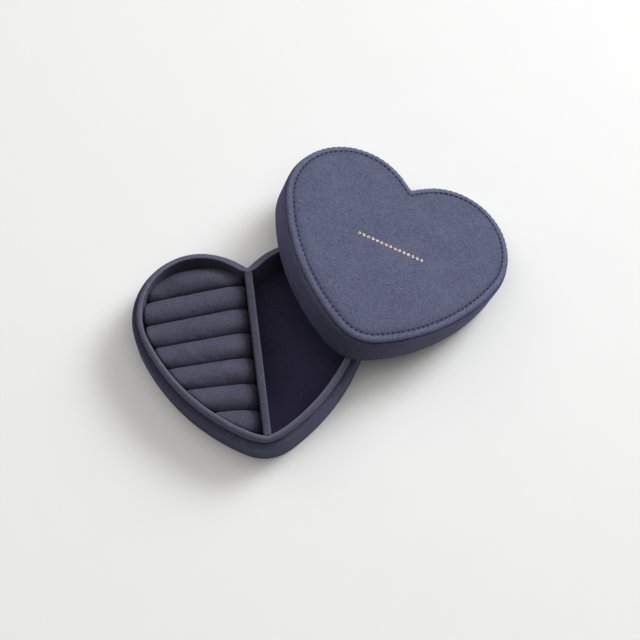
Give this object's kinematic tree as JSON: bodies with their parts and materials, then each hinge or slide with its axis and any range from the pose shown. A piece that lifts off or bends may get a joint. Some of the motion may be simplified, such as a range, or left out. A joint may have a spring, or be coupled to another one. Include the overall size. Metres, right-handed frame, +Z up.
{
  "type": "jewellery box",
  "caption": "Heart-shaped suede-covered jewellery box with ring rolls, a divider and an open compartment, its lift-off lid lying across one lobe.",
  "frame": {"origin": "middle of the base's flat underside, which is also the middle of the base's outline", "axes": "+Z up out of the base's underside, +Y from the heart's tip towards its notch, +X towards the open compartment"},
  "size_m": [0.1996, 0.1547, 0.0536],
  "materials": {
    "base_suede": "dark navy microsuede, short matt nap",
    "lid_suede": "slate navy microsuede with a finely mottled matt nap",
    "velvet": "dark plum navy velvet with a soft sheen",
    "underside_cloth": "plain dark backing cloth",
    "greyboard": "plain grey bookbinder's board",
    "foam": "off-white open-cell foam",
    "seam_thread": "dark navy polyester thread",
    "gold_foil": "pale gold hot-stamped foil"
  },
  "bodies": {
    "base": {"base_underside_cover": "underside_cloth", "base_bottom_board": "greyboard", "base_wall_board": "greyboard", "base_wall_wrap": "base_suede", "collar_board": "greyboard", "collar_lining": "velvet", "divider_board": "greyboard", "divider_velvet": "velvet", "compartment_floor_board": "greyboard", "compartment_floor_velvet": "velvet", "ring_tray_board": "greyboard", "ring_roll_foam_1": "foam", "ring_roll_foam_2": "foam", "ring_roll_foam_3": "foam", "ring_roll_foam_4": "foam", "ring_roll_foam_5": "foam", "ring_roll_foam_6": "foam", "ring_roll_foam_7": "foam", "ring_roll_velvet_1": "velvet", "ring_roll_velvet_2": "velvet", "ring_roll_velvet_3": "velvet", "ring_roll_velvet_4": "velvet", "ring_roll_velvet_5": "velvet", "ring_roll_velvet_6": "velvet", "ring_roll_velvet_7": "velvet"},
    "lid": {"lid_wall_board": "greyboard", "lid_wall_wrap": "lid_suede", "lid_wall_lining": "velvet", "lid_top_board": "greyboard", "lid_top_lining": "velvet", "lid_panel_board": "greyboard", "lid_panel_foam": "foam", "lid_panel_cover": "lid_suede", "lid_seam_thread": "seam_thread", "lid_foil_ornament": "gold_foil"}
  },
  "joints": [
    {"name": "lid_lift", "type": "slide", "parent": "base", "child": "lid", "axis": [0, 0, 1], "range_m": [0, 0.08]}
  ]
}
